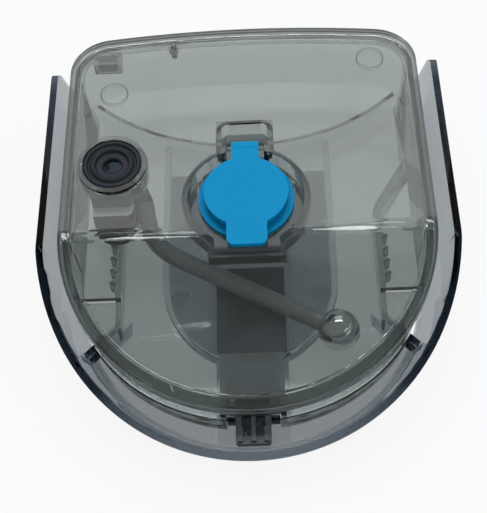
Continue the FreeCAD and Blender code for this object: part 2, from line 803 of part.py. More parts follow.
def make_latch_slider():
    """An inverted tray that slides in the tunnel, its press tab in front and its arm behind."""
    top = latch_top
    low = latch_cover_top() + latch_gap
    body = latch_body_box(0, low, top).cut(latch_body_box(latch_wall, low - 1, top - latch_plate))
    half = latch_prong_half_width
    tab = box(-half, half, latch_tip_y, latch_body_front_y + 1, top - latch_plate, top)
    tab = tab.makeFillet(1.2, [e for e in tab.Edges if vertical_at(e, half, latch_tip_y)
                               or vertical_at(e, -half, latch_tip_y)])
    slot_front = latch_tip_y + latch_rib + 1.2
    for side in (-1, 1):
        x = side * (latch_rib / 2 + latch_slot_width / 2)
        tab = tab.cut(box(x - latch_slot_width / 2, x + latch_slot_width / 2, slot_front,
                          slot_front + latch_slot_length, top - latch_slot_depth, BIG))
    ribs = [box(x - latch_rib / 2, x + latch_rib / 2, latch_tip_y + latch_rib_setback, latch_rib_rear_y,
                top - latch_plate, top + latch_rib_rise) for x in (0, half - latch_rib, latch_rib - half)]
    return body.fuse([tab, latch_arm(low, low + arm_wall)] + ribs).removeSplitter()


def latch_arm(z0, z1):
    """The flat arm that runs back under the strip: a neck and a wide blade with a bowed shoulder."""
    neck = box(-arm_neck_half_width, arm_neck_half_width, latch_rear_y() - latch_wall, arm_rear_y, z0, z1)
    blade = box(-arm_half_width, arm_half_width, tank_front_y, arm_rear_y, z0, z1)
    bow = disc(0, arm_shoulder_y + strip_front_radius, z0, z1, strip_front_radius)
    return neck.fuse(blade.common(bow))


def latch_cover_top():
    return tub_underside + latch_cover_plate


def latch_post_y():
    """Rear face of the post on the cover plate that the slider pulls back against."""
    return latch_rear_y() - latch_wall - latch_gap


def latch_cover_space():
    half = tunnel_inner
    return box(-half, half, deck_mouth_y - 1, tunnel_rear_y - tunnel_wall, foot_wall, foot_wall + 2)


def make_latch_cover():
    half = tunnel_inner - fit_gap
    front = deck_mouth_y + latch_gap
    rear = tunnel_rear_y - tunnel_wall - fit_gap
    plate = box(-half, half, front, rear, tub_underside + fit_gap, latch_cover_top())
    post_y = latch_post_y()
    post_top = latch_top - latch_plate - latch_gap
    post = box(-spring_radius - 0.6, spring_radius + 0.6, post_y - latch_post, post_y,
               tub_underside + fit_gap, post_top)
    return plate.fuse(post).removeSplitter()


def make_latch_spring():
    """A compression spring between the post and the slider's front wall."""
    rear = latch_post_y() - latch_post - fit_gap - spring_wire / 2
    front = latch_body_front_y + latch_wall + fit_gap + spring_wire / 2
    length = rear - front
    z = (latch_cover_top() + latch_top - latch_plate) / 2
    helix = Part.makeHelix(length / spring_turns, length, spring_radius)
    section = Part.Wire(Part.Circle(V(spring_radius, 0, 0), V(0, 1, 0), spring_wire / 2).toShape())
    coil = Part.Wire(helix.Edges).makePipeShell([section], True, True)
    coil.rotate(V(0, 0, 0), V(1, 0, 0), 90)
    coil.translate(V(0, rear, z))
    return coil


def make_magnet():
    z_top = cover_under - 0.01 - fit_gap
    inner = magnet_pocket(-fit_gap, cover_under - magnet_height + fit_gap, z_top)
    edges = [e for e in inner.Edges if abs(e.Vertexes[0].Z - e.Vertexes[-1].Z) > 1]
    return inner.makeFillet(0.8, edges)


def make_vent_valve():
    """A duckbill valve pressed into the vent boss: it lets air in as the water leaves."""
    seat_top = cover_under - vent_boss_height + vent_seat_depth
    boss_low = cover_under - vent_boss_height
    radius = vent_seat_radius - seat_gap / 2
    profile = [V(vent_radius, 0, seat_top), V(radius, 0, seat_top), V(radius, 0, boss_low),
               V(vent_lip_radius + vent_radius, 0, boss_low - vent_lip_length),
               V(vent_radius, 0, boss_low - vent_lip_length)]
    return turned(profile, vent_x, vent_y)


pieces = {
    "outer_shell": make_shell(),
    "tank_tub": make_tub(),
    "top_cover": make_cover(),
    "filler_plug": make_plug(),
    "outlet_seal": make_seal(),
    "outlet_fitting": make_fitting(),
    "outlet_ring": make_ring(),
    "outlet_clip": make_clip(),
    "pickup_hose": make_hose(),
    "pickup_weight": make_ball(),
    "latch_slider": make_latch_slider(),
    "latch_cover": make_latch_cover(),
    "latch_spring": make_latch_spring(),
    "sensor_magnet": make_magnet(),
    "vent_valve": make_vent_valve(),
}

for name, shape in pieces.items():
    shape.exportStep(os.path.join("parts", name + ".step"))
    b = shape.BoundBox
    print(name, len(shape.Solids), shape.isValid(), round(shape.Volume),
          [round(v, 1) for v in (b.XMin, b.XMax, b.YMin, b.YMax, b.ZMin, b.ZMax)])
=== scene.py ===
# %% [markdown]
# # A smoke tinted water tank for a floor cleaner
# The real tank is moulded from clear plastic with a grey tint. It has a tub, a welded
# cover, an outer shell with two wings, a blue silicone filler plug, a rubber outlet seal
# and a pick-up hose with a steel weight inside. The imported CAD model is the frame: it
# gives every piece its size and place, and this script gives the pieces their looks.

# %% Load the frame
import bpy
import bmesh
import math
from mathutils import Matrix, Vector


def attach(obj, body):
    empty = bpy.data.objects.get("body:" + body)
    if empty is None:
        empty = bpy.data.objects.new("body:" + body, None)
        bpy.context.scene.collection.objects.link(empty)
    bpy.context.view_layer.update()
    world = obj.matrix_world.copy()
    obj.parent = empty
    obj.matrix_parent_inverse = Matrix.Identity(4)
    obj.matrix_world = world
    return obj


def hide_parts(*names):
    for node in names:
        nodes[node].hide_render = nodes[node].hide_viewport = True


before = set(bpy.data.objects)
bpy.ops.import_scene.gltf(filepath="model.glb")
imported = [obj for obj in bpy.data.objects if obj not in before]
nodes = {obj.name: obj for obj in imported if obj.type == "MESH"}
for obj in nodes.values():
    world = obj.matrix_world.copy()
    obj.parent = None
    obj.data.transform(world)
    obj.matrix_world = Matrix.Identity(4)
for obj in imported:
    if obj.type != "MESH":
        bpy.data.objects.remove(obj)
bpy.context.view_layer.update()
scene = bpy.context.scene
MM = 0.001
print("frame nodes:", sorted(nodes))

# %% [markdown]
# ## Camera
# The photograph looks down steeply on the round front, turned a little and tilted a
# little. A pinhole camera with those angles shows every piece where the photograph does.

# %% Camera
view_turn = math.radians(2.64)
view_height = math.radians(57.1)
view_tilt = math.radians(-4.43)
view_distance = 409.1 * MM
aim_point = Vector((-2.36, 5.91, 0)) * MM
lens_width = 36.0
lens_length = 80.56

camera_data = bpy.data.cameras.new("camera")
camera_data.sensor_width = lens_width
camera_data.lens = lens_length
camera = bpy.data.objects.new("camera", camera_data)
scene.collection.objects.link(camera)
turn = Matrix.Rotation(view_turn, 3, "Z") @ Matrix.Rotation(math.pi / 2 - view_height, 3, "X")
turn = turn @ Matrix.Rotation(view_tilt, 3, "Z")
camera.matrix_world = Matrix.Translation(aim_point + turn @ Vector((0, 0, view_distance))) @ turn.to_4x4()
scene.camera = camera
print("camera at", [round(v, 4) for v in camera.matrix_world.translation])

# %% [markdown]
# ## Pick-up hose
# The hose is a thin corrugated silicone tube. It slides over the barb of the outlet,
# bends down beside it and lies on the tank's floor with a steel weight on its end. Its
# line is a smooth spline through the route, and the tube is swept along that line with
# fine rings, because the rings are a real shape that catches the light.

# %% Hose line
hose_route = [
    (-35.2, 13.6, 24.6), (-34.6, 9.6, 18.9), (-33.4, 5.9, 14.3), (-29.8, 1.8, 12.0),
    (-22.4, -3.1, 11.35), (25.7, -30.0, 11.3),
]
hose_outside = 3.15 * MM
hose_length = 82.7 * MM


def smooth_line(name, points):
    """A smooth open spline with these control points, in millimetres."""
    curve = bpy.data.curves.new(name, "CURVE")
    curve.dimensions = "3D"
    curve.resolution_u = 24
    spline = curve.splines.new("NURBS")
    spline.points.add(len(points) - 1)
    for target, point in zip(spline.points, points):
        target.co = (*[v * MM for v in point], 1)
    spline.order_u = 3
    spline.use_endpoint_u = True
    line = bpy.data.objects.new(name, curve)
    scene.collection.objects.link(line)
    return line


def line_points(line):
    """The points that the spline passes through, from one end to the other."""
    mesh = bpy.data.meshes.new_from_object(line)
    points = [v.co.copy() for v in mesh.vertices]
    bpy.data.meshes.remove(mesh)
    return points


def evenly(points, step):
    """Points along a polyline, a fixed step apart, with the direction at each."""
    lengths = [0.0]
    for a, b in zip(points, points[1:]):
        lengths.append(lengths[-1] + (b - a).length)
    count = round(lengths[-1] / step)
    out, i = [], 0
    for k in range(count + 1):
        at = lengths[-1] * k / count
        while i < len(points) - 2 and lengths[i + 1] < at:
            i += 1
        span = points[i + 1] - points[i]
        out.append((points[i] + span * ((at - lengths[i]) / span.length), span.normalized(), at))
    return out


hose_line = smooth_line("hose_line", hose_route)
hose_path = line_points(hose_line)
bpy.data.objects.remove(hose_line)
print("hose line:", len(hose_path), "points")

# %% Hose tube
hose_ring_pitch = 1.0 * MM
hose_ring_depth = 0.3 * MM
hose_plain_end = 5.0 * MM
steps_per_ring = 8
hose_sides = 28


def tube_object(name, stations, radius_at, sides):
    """A closed-ended tube mesh along stations (point, direction, distance)."""
    mesh = bmesh.new()
    side = stations[0][1].orthogonal().normalized()
    rings = []
    for point, along, distance in stations:
        side = (side - along * side.dot(along)).normalized()
        up = along.cross(side)
        radius = radius_at(distance)
        rings.append([mesh.verts.new(point + radius * (math.cos(a) * side + math.sin(a) * up))
                      for a in (2 * math.pi * i / sides for i in range(sides))])
    for lower, upper in zip(rings, rings[1:]):
        for i in range(sides):
            j = (i + 1) % sides
            mesh.faces.new((lower[i], lower[j], upper[j], upper[i]))
    mesh.faces.new(rings[0][::-1])
    mesh.faces.new(rings[-1])
    bmesh.ops.recalc_face_normals(mesh, faces=mesh.faces)
    for face in mesh.faces:
        face.smooth = True
    return new_object(name, mesh)


def new_object(name, mesh):
    data = bpy.data.meshes.new(name)
    mesh.to_mesh(data)
    mesh.free()
    obj = bpy.data.objects.new(name, data)
    scene.collection.objects.link(obj)
    return obj


def hose_radius(distance):
    plain = min(distance, hose_length - distance) < hose_plain_end
    if plain:
        return hose_outside
    wave = 0.5 - 0.5 * math.cos(2 * math.pi * distance / hose_ring_pitch)
    return hose_outside - hose_ring_depth * wave ** 2


hose = tube_object("hose", evenly(hose_path, hose_ring_pitch / steps_per_ring), hose_radius, hose_sides)
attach(hose, "tank")
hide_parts("pickup_hose")
print("hose vertices:", len(hose.data.vertices))

# %% [markdown]
# ## Materials
# Almost everything here is seen through grey plastic, so that plastic matters most. All
# finishes start from one empty material, and take a little unevenness from one shared
# noise group, because no moulded surface is perfectly even.

# %% Empty material


def new_material(name):
    """An empty material with its Principled shader and output."""
    material = bpy.data.materials.new(name)
    material.use_nodes = True
    tree = material.node_tree
    return material, tree, tree.nodes["Principled BSDF"], tree.nodes["Material Output"]


def add_group(tree, group):
    """Places a node group in a material."""
    node = tree.nodes.new("ShaderNodeGroup")
    node.node_tree = group
    return node


# %% Shared noise


def fine_noise_group():
    """Cloudy and fine noise over the surface: outputs Cloud and Grain, both 0 to 1."""
    group = bpy.data.node_groups.new("surface_noise", "ShaderNodeTree")
    group.interface.new_socket("Cloud size", in_out="INPUT", socket_type="NodeSocketFloat")
    group.interface.new_socket("Grain size", in_out="INPUT", socket_type="NodeSocketFloat")
    group.interface.new_socket("Cloud", in_out="OUTPUT", socket_type="NodeSocketFloat")
    group.interface.new_socket("Grain", in_out="OUTPUT", socket_type="NodeSocketFloat")
    inputs = group.nodes.new("NodeGroupInput")
    outputs = group.nodes.new("NodeGroupOutput")
    place = group.nodes.new("ShaderNodeTexCoord")
    for size, out in (("Cloud size", "Cloud"), ("Grain size", "Grain")):
        noise = group.nodes.new("ShaderNodeTexNoise")
        noise.inputs["Detail"].default_value = 3
        group.links.new(place.outputs["Object"], noise.inputs["Vector"])
        group.links.new(inputs.outputs[size], noise.inputs["Scale"])
        group.links.new(noise.outputs["Fac"], outputs.inputs[out])
    return group


surface_noise = fine_noise_group()


def add_noise(tree, cloud_scale, grain_scale):
    """Places the shared noise with this material's own sizes."""
    node = add_group(tree, surface_noise)
    node.inputs["Cloud size"].default_value = cloud_scale
    node.inputs["Grain size"].default_value = grain_scale
    return node


print("shared group:", surface_noise.name)

# %% [markdown]
# ## Small steps of node arithmetic
# A mask is a number from 0 to 1 over the surface. Masks are made of a few kinds of step,
# and each kind has a short helper here, so that a finish reads like a recipe.

# %% Node helpers


def spread(tree, source, low, high):
    """Turns 0.3 to 0.7 of a noise into low to high."""
    scale = tree.nodes.new("ShaderNodeMapRange")
    scale.inputs["From Min"].default_value = 0.3
    scale.inputs["From Max"].default_value = 0.7
    scale.inputs["To Min"].default_value = low
    scale.inputs["To Max"].default_value = high
    tree.links.new(source, scale.inputs["Value"])
    return scale.outputs["Result"]


def math_node(tree, operation, a, b=None):
    """One step of arithmetic on sockets or plain numbers."""
    node = tree.nodes.new("ShaderNodeMath")
    node.operation = operation
    for socket, value in zip(node.inputs, (a, b)):
        if isinstance(value, bpy.types.NodeSocket):
            tree.links.new(value, socket)
        elif value is not None:
            socket.default_value = value
    return node.outputs[0]


def product(tree, first, *others):
    """All these masks at once."""
    for other in others:
        first = math_node(tree, "MULTIPLY", first, other)
    return first


def either(tree, first, *others):
    """Any of these masks."""
    for other in others:
        first = math_node(tree, "MAXIMUM", first, other)
    return first


def step_up(tree, value, start, end):
    """0 before start, 1 past end, and a straight ramp between them."""
    ramp = tree.nodes.new("ShaderNodeMapRange")
    ramp.inputs["From Min"].default_value = start
    ramp.inputs["From Max"].default_value = end
    tree.links.new(value, ramp.inputs["Value"])
    return ramp.outputs["Result"]


def band(tree, value, low, high, soft=0.05):
    """1 between low and high."""
    return product(tree, step_up(tree, value, low - soft, low), step_up(tree, value, high + soft, high))


def mix_colour(tree, factor, colour, over):
    """Lays a colour over another one by a factor. Each is a socket or three numbers."""
    mix = tree.nodes.new("ShaderNodeMix")
    mix.data_type = "RGBA"
    for socket, value in ((mix.inputs["A"], colour), (mix.inputs["B"], over)):
        if isinstance(value, bpy.types.NodeSocket):
            tree.links.new(value, socket)
        else:
            socket.default_value = (*value, 1)
    tree.links.new(factor, mix.inputs["Factor"])
    return mix.outputs["Result"]


def add_bump(tree, shader, height, strength, distance):
    """Raises the surface by a height map."""
    bump = tree.nodes.new("ShaderNodeBump")
    bump.inputs["Strength"].default_value = strength
    bump.inputs["Distance"].default_value = distance
    tree.links.new(height, bump.inputs["Height"])
    tree.links.new(bump.outputs["Normal"], shader.inputs["Normal"])


# %% [markdown]
# ## Where on the part
# Some places of a clear moulding look darker or paler than the plastic is: walls seen
# along their length, edges that gather light, gaps that trap it. Tracing such light well
# takes very many samples, so the tint is painted by place instead. One group says where
# a point of the surface is, and the masks below cut out boxes, rounds and ovals.

# %% Place in millimetres


def place_group():
    """Where a point of the surface is, in millimetres, and Up, which is 1 where it faces up."""
    group = bpy.data.node_groups.new("place_mm", "ShaderNodeTree")
    outputs = group.nodes.new("NodeGroupOutput")
    place = group.nodes.new("ShaderNodeTexCoord")
    axes = group.nodes.new("ShaderNodeSeparateXYZ")
    scale = group.nodes.new("ShaderNodeVectorMath")
    scale.operation = "SCALE"
    scale.inputs["Scale"].default_value = 1 / MM
    group.links.new(place.outputs["Object"], scale.inputs[0])
    group.links.new(scale.outputs["Vector"], axes.inputs[0])
    facing = group.nodes.new("ShaderNodeSeparateXYZ")
    group.links.new(place.outputs["Normal"], facing.inputs[0])
    for name, source in (("X", axes.outputs["X"]), ("Y", axes.outputs["Y"]), ("Z", axes.outputs["Z"]),
                         ("Up", facing.outputs["Z"])):
        group.interface.new_socket(name, in_out="OUTPUT", socket_type="NodeSocketFloat")
        group.links.new(source, outputs.inputs[name])
    return group


place_mm = place_group()
print("shared group:", place_mm.name)

# %% Boxes, rounds and ovals


def sideways(tree, at):
    """Distance from the middle plane."""
    return math_node(tree, "ABSOLUTE", at.outputs["X"])


def away_from(tree, at, x, y):
    """Distance from an upright line through x and y, in millimetres."""
    dx = math_node(tree, "SUBTRACT", at.outputs["X"], x)
    dy = math_node(tree, "SUBTRACT", at.outputs["Y"], y)
    return math_node(tree, "POWER", math_node(tree, "ADD", product(tree, dx, dx), product(tree, dy, dy)), 0.5)


def oval(tree, at, half_width, reach, centre_y):
    """1 on an upright oval wall with these half sizes, less inside it and more outside."""
    across = math_node(tree, "DIVIDE", at.outputs["X"], half_width)
    along = math_node(tree, "DIVIDE", math_node(tree, "SUBTRACT", at.outputs["Y"], centre_y), reach)
    total = math_node(tree, "ADD", product(tree, across, across), product(tree, along, along))
    return math_node(tree, "POWER", total, 0.5)


def inside_box(tree, at, half_x, y0, y1):
    """1 within half_x of the middle and from y0 to y1."""
    return product(tree, step_up(tree, sideways(tree, at), half_x, half_x - 0.05),
                   step_up(tree, at.outputs["Y"], y0, y0 + 0.05), step_up(tree, at.outputs["Y"], y1, y1 - 0.05))


def upright(tree, at, limit=0.4):
    """1 on walls, 0 on level surfaces."""
    return step_up(tree, math_node(tree, "ABSOLUTE", at.outputs["Up"]), limit, limit - 0.05)


# %% Ends of the chin
deck_level = 12.0
chin_end_x, chin_end_y, chin_end_slope = 44.5, -26.2, 1.05
chin_end_wall = 3.2
chin_end_foot = 5.0


def chin_end_group():
    """The slanting end walls of the chin: a mask over them and the distance ahead of them."""
    group = bpy.data.node_groups.new("chin_end", "ShaderNodeTree")
    group.interface.new_socket("Mask", in_out="OUTPUT", socket_type="NodeSocketFloat")
    group.interface.new_socket("Ahead", in_out="OUTPUT", socket_type="NodeSocketFloat")
    outputs = group.nodes.new("NodeGroupOutput")
    at = add_group(group, place_mm)
    side = math_node(group, "SUBTRACT", sideways(group, at), chin_end_x)
    line = math_node(group, "SUBTRACT", chin_end_y, math_node(group, "MULTIPLY", side, chin_end_slope))
    ahead = math_node(group, "SUBTRACT", line, at.outputs["Y"])
    group.links.new(ahead, outputs.inputs["Ahead"])
    near = product(group, step_up(group, ahead, -0.7, -0.5),
                   step_up(group, ahead, chin_end_wall + 0.3, chin_end_wall))
    low = product(group, step_up(group, at.outputs["Z"], chin_end_foot - 1, chin_end_foot),
                  step_up(group, at.outputs["Z"], deck_level + 0.4, deck_level + 0.2))
    group.links.new(product(group, near, low), outputs.inputs["Mask"])
    return group


chin_end = chin_end_group()
print("shared group:", chin_end.name)

# %% [markdown]
# ## Smoke plastic
# The tint is in the plastic itself, so a thick place is darker than a thin one. Part of
# it is given to the surface, where it can be painted, and the rest to the volume inside.
# For lamps and bounced light the plastic is a plain tinted sheet, which keeps the inside
# lit without noise.

# %% Smoke plastic
wall = 2 * MM


def smoke_plastic(name, tint, roughness, depth_tint, bend=1.47, paint=None):
    """Clear tinted plastic. Inside it, light fades to depth_tint over one wall.
    paint may lay painted shade and painted highlights over the tint."""
    material, tree, shader, output = new_material(name)
    noise = add_noise(tree, 25, 900)
    colour = mix_colour(tree, noise.outputs["Cloud"], [0.97 * v for v in tint], tint)
    rough = spread(tree, noise.outputs["Cloud"], roughness, 1.6 * roughness)
    if paint:
        colour, rough = paint(tree, colour, rough)
    tree.links.new(colour, shader.inputs["Base Color"])
    tree.links.new(rough, shader.inputs["Roughness"])
    shader.inputs["Transmission Weight"].default_value = 1
    shader.inputs["IOR"].default_value = bend
    fade = tree.nodes.new("ShaderNodeVolumeAbsorption")
    strongest = -math.log(min(depth_tint)) / wall
    fade.inputs["Density"].default_value = strongest
    fade.inputs["Color"].default_value = (*[1 + math.log(v) / (wall * strongest) for v in depth_tint], 1)
    tree.links.new(fade.outputs["Volume"], output.inputs["Volume"])
    sheet = tree.nodes.new("ShaderNodeBsdfTransparent")
    sheet.inputs["Color"].default_value = (*[math.sqrt(v) for v in tint], 1)
    rays = tree.nodes.new("ShaderNodeLightPath")
    mix = tree.nodes.new("ShaderNodeMixShader")
    as_sheet = either(tree, rays.outputs["Is Shadow Ray"], rays.outputs["Is Diffuse Ray"])
    tree.links.new(as_sheet, mix.inputs["Fac"])
    tree.links.new(shader.outputs["BSDF"], mix.inputs[1])
    tree.links.new(sheet.outputs["BSDF"], mix.inputs[2])
    tree.links.new(mix.outputs["Shader"], output.inputs["Surface"])
    return material


# %% [markdown]
# ## Shell
# The shell is a little bluer than the tank. Its upper edge is painted navy along the wings
# and pale grey round the chin, as painted shade and painted light; its deck, its foot and the
# ends of its chin are painted darker as painted shade, and a black line of painted shadow runs
# where the deck meets the tub. A low index of refraction keeps the flared wall free of streaks.

# %% Shell finish
foot_top = 2.1
neck_y = -45
neck_half_width = 12.0
deck_wall = 2.0
seam_half_width, seam_reach = 59.0, 55.4
crease_y = -8.1
# Painted shade and light on the shell: foot, deck, seam, upper edge and chin ends; the neck is left nearly
# clear.
foot_shade_tint, neck_tint = (0.50, 0.54, 0.55), (0.95, 0.95, 0.95)
deck_shade_tint, deck_over_neck_shade_tint = (0.40, 0.425, 0.425), (0.47, 0.495, 0.495)
seam_shadow_black, chin_end_shade_navy = (0.01, 0.012, 0.012), (0.04, 0.05, 0.075)
edge_light_grey, edge_shade_navy = (0.80, 0.81, 0.79), (0.055, 0.065, 0.09)


def paint_shell(tree, colour, rough):
    """Painted light and shade on the shell's upper edge, and painted shade on its deck with the black seam, its
    foot and the ends of its chin.
    """
    at = add_group(tree, place_mm)
    up, y, z = at.outputs["Up"], at.outputs["Y"], at.outputs["Z"]
    low = step_up(tree, z, foot_top + 0.2, foot_top)
    # Painted shade darkens the foot; under the neck the foot is left nearly clear.
    colour = mix_colour(tree, product(tree, low, step_up(tree, y, neck_y, neck_y + 1)), colour, foot_shade_tint)
    colour = mix_colour(tree, product(tree, low, step_up(tree, y, neck_y + 1, neck_y)), colour, neck_tint)
    # Painted shade darkens the deck, a little less over the neck.
    deck = product(tree, step_up(tree, math_node(tree, "ABSOLUTE", up), 0.9, 0.95),
                   band(tree, z, deck_level - deck_wall - 0.3, deck_level + 0.1))
    colour = mix_colour(tree, deck, colour, deck_shade_tint)
    over_neck = product(tree, deck, step_up(tree, sideways(tree, at), neck_half_width + 0.1, neck_half_width))
    colour = mix_colour(tree, over_neck, colour, deck_over_neck_shade_tint)
    # A black line of painted shadow where the deck meets the tub.
    seam = band(tree, oval(tree, at, seam_half_width, seam_reach, crease_y), 0.99, 1.010, 0.002)
    top = step_up(tree, z, deck_level - 0.6, deck_level - 0.4)
    colour = mix_colour(tree, product(tree, deck, seam, top), colour, seam_shadow_black)
    # Painted light and shade on the upper edge: pale grey round the chin, navy along the wings.
    edge = product(tree, step_up(tree, up, 0.75, 0.85), step_up(tree, z, deck_level + 0.8, deck_level + 1))
    tone = mix_colour(tree, step_up(tree, y, -78, -55), edge_light_grey, edge_shade_navy)
    colour = mix_colour(tree, edge, colour, tone)
    # Painted shade on the chin's slanting end walls.
    return mix_colour(tree, add_group(tree, chin_end).outputs["Mask"], colour, chin_end_shade_navy), rough


shell_smoke = smoke_plastic("shell_plastic", (0.62, 0.645, 0.65), 0.02, (0.84, 0.855, 0.87), 1.12, paint_shell)
print("made", shell_smoke.name)

# %% [markdown]
# ## Tub
# Through the cover the tub shows a tongue-shaped island with a strip along it. Painted shade
# darkens the tub's walls, the island, the strip, the top of the latch tunnel and two webs behind
# the chin's ends. The top of the latch tunnel is matt, or it would throw the lamp back at the
# camera, which the photograph doesn't show.

# %% Tub finish
island_half_width, island_reach, island_y = 30.2, 35.0, -7
island_rear_y = 52
island_low, island_high = 4.6, 8.3
strip_half_width, strip_level = 14.4, 7.7
tunnel_half_width, tunnel_level = 10.5, 16.3
tunnel_front_y, tunnel_rear_y = -66, -41
# Tints of painted shade on the tub: walls, island, strip, tunnel top and webs.
tub_wall_shade_tint, island_shade_tint, strip_shade_tint = (0.60, 0.64, 0.64), (0.55, 0.59, 0.60), (0.46, 0.50, 0.53)
tunnel_shade_tint, web_shade_tint = (0.30, 0.34, 0.38), (0.34, 0.37, 0.40)


def paint_tub(tree, colour, rough):
    """Painted shade on the tub's walls, its island and strip, the top of its latch tunnel and the webs behind
    the chin's ends.
    """
    at = add_group(tree, place_mm)
    y, z = at.outputs["Y"], at.outputs["Z"]
    # Painted shade on walls seen along their length.
    walls = product(tree, upright(tree, at), step_up(tree, z, 30, 28))
    colour = mix_colour(tree, walls, colour, tub_wall_shade_tint)
    # Painted shade on the island.
    side = step_up(tree, sideways(tree, at), island_half_width + 0.1, island_half_width)
    front = either(tree, step_up(tree, oval(tree, at, island_half_width + 0.1, island_reach + 0.1, island_y),
                                 1.002, 1), step_up(tree, y, island_y, island_y + 0.1))
    island = product(tree, side, front, step_up(tree, y, island_rear_y, island_rear_y - 0.5),
                     band(tree, z, island_low, island_high))
    colour = mix_colour(tree, island, colour, island_shade_tint)
    # Painted shade on the strip along the island.
    strip = product(tree, inside_box(tree, at, strip_half_width, -45, 45),
                    band(tree, z, strip_level, island_high))
    colour = mix_colour(tree, strip, colour, strip_shade_tint)
    # Painted shade on the webs behind the chin's ends.
    web = product(tree, band(tree, add_group(tree, chin_end).outputs["Ahead"], -0.4, 4.6),
                  step_up(tree, z, deck_level + 0.5, deck_level + 0.3),
                  band(tree, sideways(tree, at), 40.5, 51))
    # Painted shade on the tunnel top, which is also made matt.
    tunnel = product(tree, inside_box(tree, at, tunnel_half_width, tunnel_front_y, tunnel_rear_y),
                     band(tree, z, tunnel_level - 0.1, tunnel_level + 0.1))
    colour = mix_colour(tree, tunnel, colour, tunnel_shade_tint)
    rough = either(tree, rough, math_node(tree, "MULTIPLY", tunnel, 0.4))
    return mix_colour(tree, web, colour, web_shade_tint), rough


smoke = smoke_plastic("smoke_plastic", (0.66, 0.695, 0.685), 0.02, (0.87, 0.885, 0.88), paint=paint_tub)
print("made", smoke.name)

# %% [markdown]
# ## Cover
# In front of its crease the cover slopes away and is painted darker as painted shade. The
# filler pocket and the outlet's collar are painted darker as painted shade; the pocket's walls
# are seen along their length, painted nearly black at the front as painted shade and pale at
# the rear as a painted highlight. The rim is painted darker as painted shade, with a darker
# line at its outer edge, and two ejector pins have left round marks. Rounded edges are a
# little matt and are painted paler, a painted highlight.

# %% Cover finish
rim_half_width, rim_reach, rim_rear_y = 61.3, 57.7, 79.5
rear_arc_radius = 420
rim_width = 3.3
cover_low, pocket_top = 30, 37.7
pocket_middle_y, pocket_outside = 5.2, 21.3
tab_slot_half_width, tab_slot_front_y = 12.65, -16.65
strap_slot_half_width, strap_slot_rear_y = 9.85, 37.65
port_x, port_y, collar_radius = -44.7, 19.8, 12.3
ejector_marks = ((-45.3, 51.2), (45.0, 63.0))
ejector_radius = 4.7
# Tints of painted shade on the cover, but for the pocket's rear walls, a painted highlight, and the real
# ejector marks.
front_shade_tint, pocket_shade_tint, collar_shade_tint = (0.56, 0.60, 0.60), (0.27, 0.31, 0.33), (0.25, 0.28, 0.31)
pocket_wall_shade_tint, pocket_rear_highlight_tint = (0.06, 0.075, 0.085), (0.85, 0.88, 0.88)
rim_line_shade_tint, rim_shade_tint, mark_tint = (0.34, 0.36, 0.37), (0.45, 0.48, 0.47), (0.12, 0.13, 0.13)


def paint_pocket(tree, at, colour):
    """Painted shade in the filler pocket with its two slots and on the outlet's collar, and a painted highlight
    on the pocket's rear walls.
    """
    deep = step_up(tree, at.outputs["Z"], pocket_top + 0.2, pocket_top)
    disc = step_up(tree, away_from(tree, at, 0, pocket_middle_y), pocket_outside + 0.05, pocket_outside)
    slots = either(tree, inside_box(tree, at, tab_slot_half_width, tab_slot_front_y, 5),
                   inside_box(tree, at, strap_slot_half_width, 5, strap_slot_rear_y))
    # Painted shade in the pocket and its slots.
    pocket = product(tree, either(tree, disc, slots), deep)
    colour = mix_colour(tree, pocket, colour, pocket_shade_tint)
    # Painted shade on the pocket's walls, and a painted highlight on its rear walls.
    walls = product(tree, pocket, upright(tree, at))
    colour = mix_colour(tree, walls, colour, pocket_wall_shade_tint)
    colour = mix_colour(tree, product(tree, walls, step_up(tree, at.outputs["Y"], 10, 12)), colour,
                        pocket_rear_highlight_tint)
    # Painted shade on the outlet's collar.
    collar = step_up(tree, away_from(tree, at, port_x, port_y), collar_radius + 0.1, collar_radius)
    return mix_colour(tree, product(tree, collar, deep), colour, collar_shade_tint)


def rim_line(tree, at, side_inset, rear_inset):
    """1 on the part of the rim that is nearer to its outer side and rear than the insets."""
    x = at.outputs["X"]
    bow = math_node(tree, "MULTIPLY", product(tree, x, x), 1 / (2 * rear_arc_radius))
    side_x = rim_half_width - side_inset
    rear_y = rim_rear_y - rear_inset
    return either(tree, step_up(tree, sideways(tree, at), side_x, side_x + 0.2),
                  step_up(tree, math_node(tree, "ADD", at.outputs["Y"], bow), rear_y, rear_y + 0.2))


